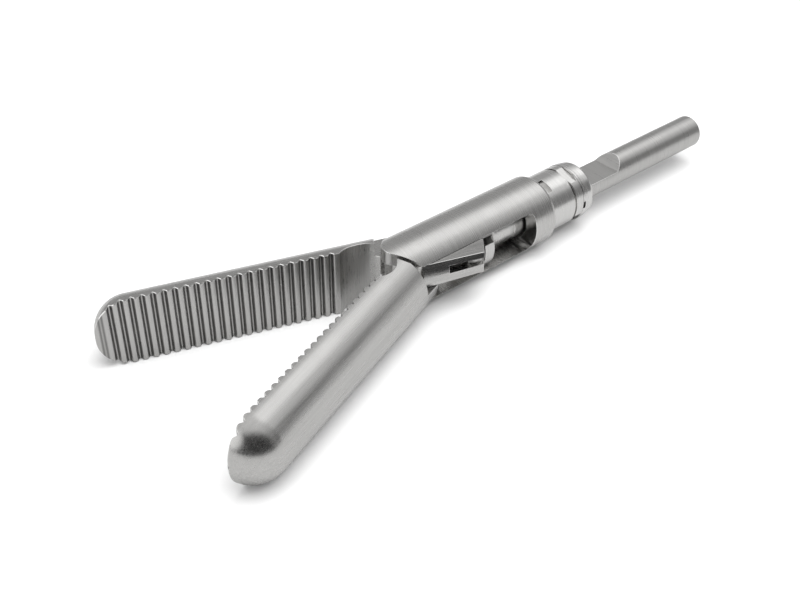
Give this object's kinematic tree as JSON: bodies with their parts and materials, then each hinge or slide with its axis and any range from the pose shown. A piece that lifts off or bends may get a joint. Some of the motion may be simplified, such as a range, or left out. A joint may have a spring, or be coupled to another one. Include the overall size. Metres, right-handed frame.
{
  "type": "laparoscopic grasper",
  "caption": "Slotted steel tube with two toothed half-round jaws on a cross pin, worked by a pull rod through plate links, with a turned coupling spigot behind.",
  "frame": {"origin": "on the tube's axis, in the shoulder face where the coupling spigot starts", "axes": "+X along the instrument toward the jaw tips, +Z along the jaws' pivot pin, +Y toward the near jaw's side"},
  "size_m": [0.0986, 0.0351, 0.01],
  "materials": {
    "housing_steel": "brushed around the tube",
    "jaw_steel": "brushed",
    "spigot_steel": "turned bright",
    "ring_steel": "polished",
    "rod_steel": "ground",
    "yoke_steel": "turned",
    "link_steel": "blanked and tumbled",
    "pin_steel": "ground",
    "bush_polymer": "turned"
  },
  "bodies": {
    "tube": {"housing": "housing_steel", "pivot_pin": "pin_steel", "coupling_spigot": "spigot_steel", "snap_ring": "ring_steel", "spigot_end_ring": "ring_steel", "front_guide_bush": "bush_polymer", "rear_guide_bush": "bush_polymer"},
    "near_jaw": {"near_jaw": "jaw_steel", "near_tail_pin": "pin_steel"},
    "far_jaw": {"far_jaw": "jaw_steel", "far_tail_pin": "pin_steel"},
    "rod": {"pull_rod": "rod_steel", "rod_yoke": "yoke_steel", "yoke_pin": "pin_steel", "yoke_lock_pin": "pin_steel"},
    "near_link": {"near_link": "link_steel"},
    "far_link": {"far_link": "link_steel"}
  },
  "joints": [
    {"name": "near_jaw_hinge", "type": "hinge", "parent": "tube", "child": "near_jaw", "pos_m": [0.0232, 0, 0], "axis": [0, 0, 1], "range_deg": [-21, 0]},
    {"name": "far_jaw_hinge", "type": "hinge", "parent": "tube", "child": "far_jaw", "pos_m": [0.0232, 0, 0], "axis": [0, 0, 1], "range_deg": [0, 18.6]},
    {"name": "rod_slide", "type": "slide", "parent": "tube", "child": "rod", "axis": [1, 0, 0], "range_m": [-0.00325, 0]},
    {"name": "near_link_hinge", "type": "hinge", "parent": "rod", "child": "near_link", "pos_m": [0.01199, 0, 0], "axis": [0, 0, 1], "range_deg": [0, 28]},
    {"name": "far_link_hinge", "type": "hinge", "parent": "rod", "child": "far_link", "pos_m": [0.01199, 0, 0], "axis": [0, 0, 1], "range_deg": [-27.3, 0]}
  ],
  "couplings": [
    {"joint": "far_jaw_hinge", "follows": "near_jaw_hinge", "ratio": -0.88095},
    {"joint": "rod_slide", "follows": "near_jaw_hinge", "m_per_rad": 0.00879},
    {"joint": "near_link_hinge", "follows": "near_jaw_hinge", "ratio": -1.3296},
    {"joint": "far_link_hinge", "follows": "near_jaw_hinge", "ratio": 1.2951}
  ]
}
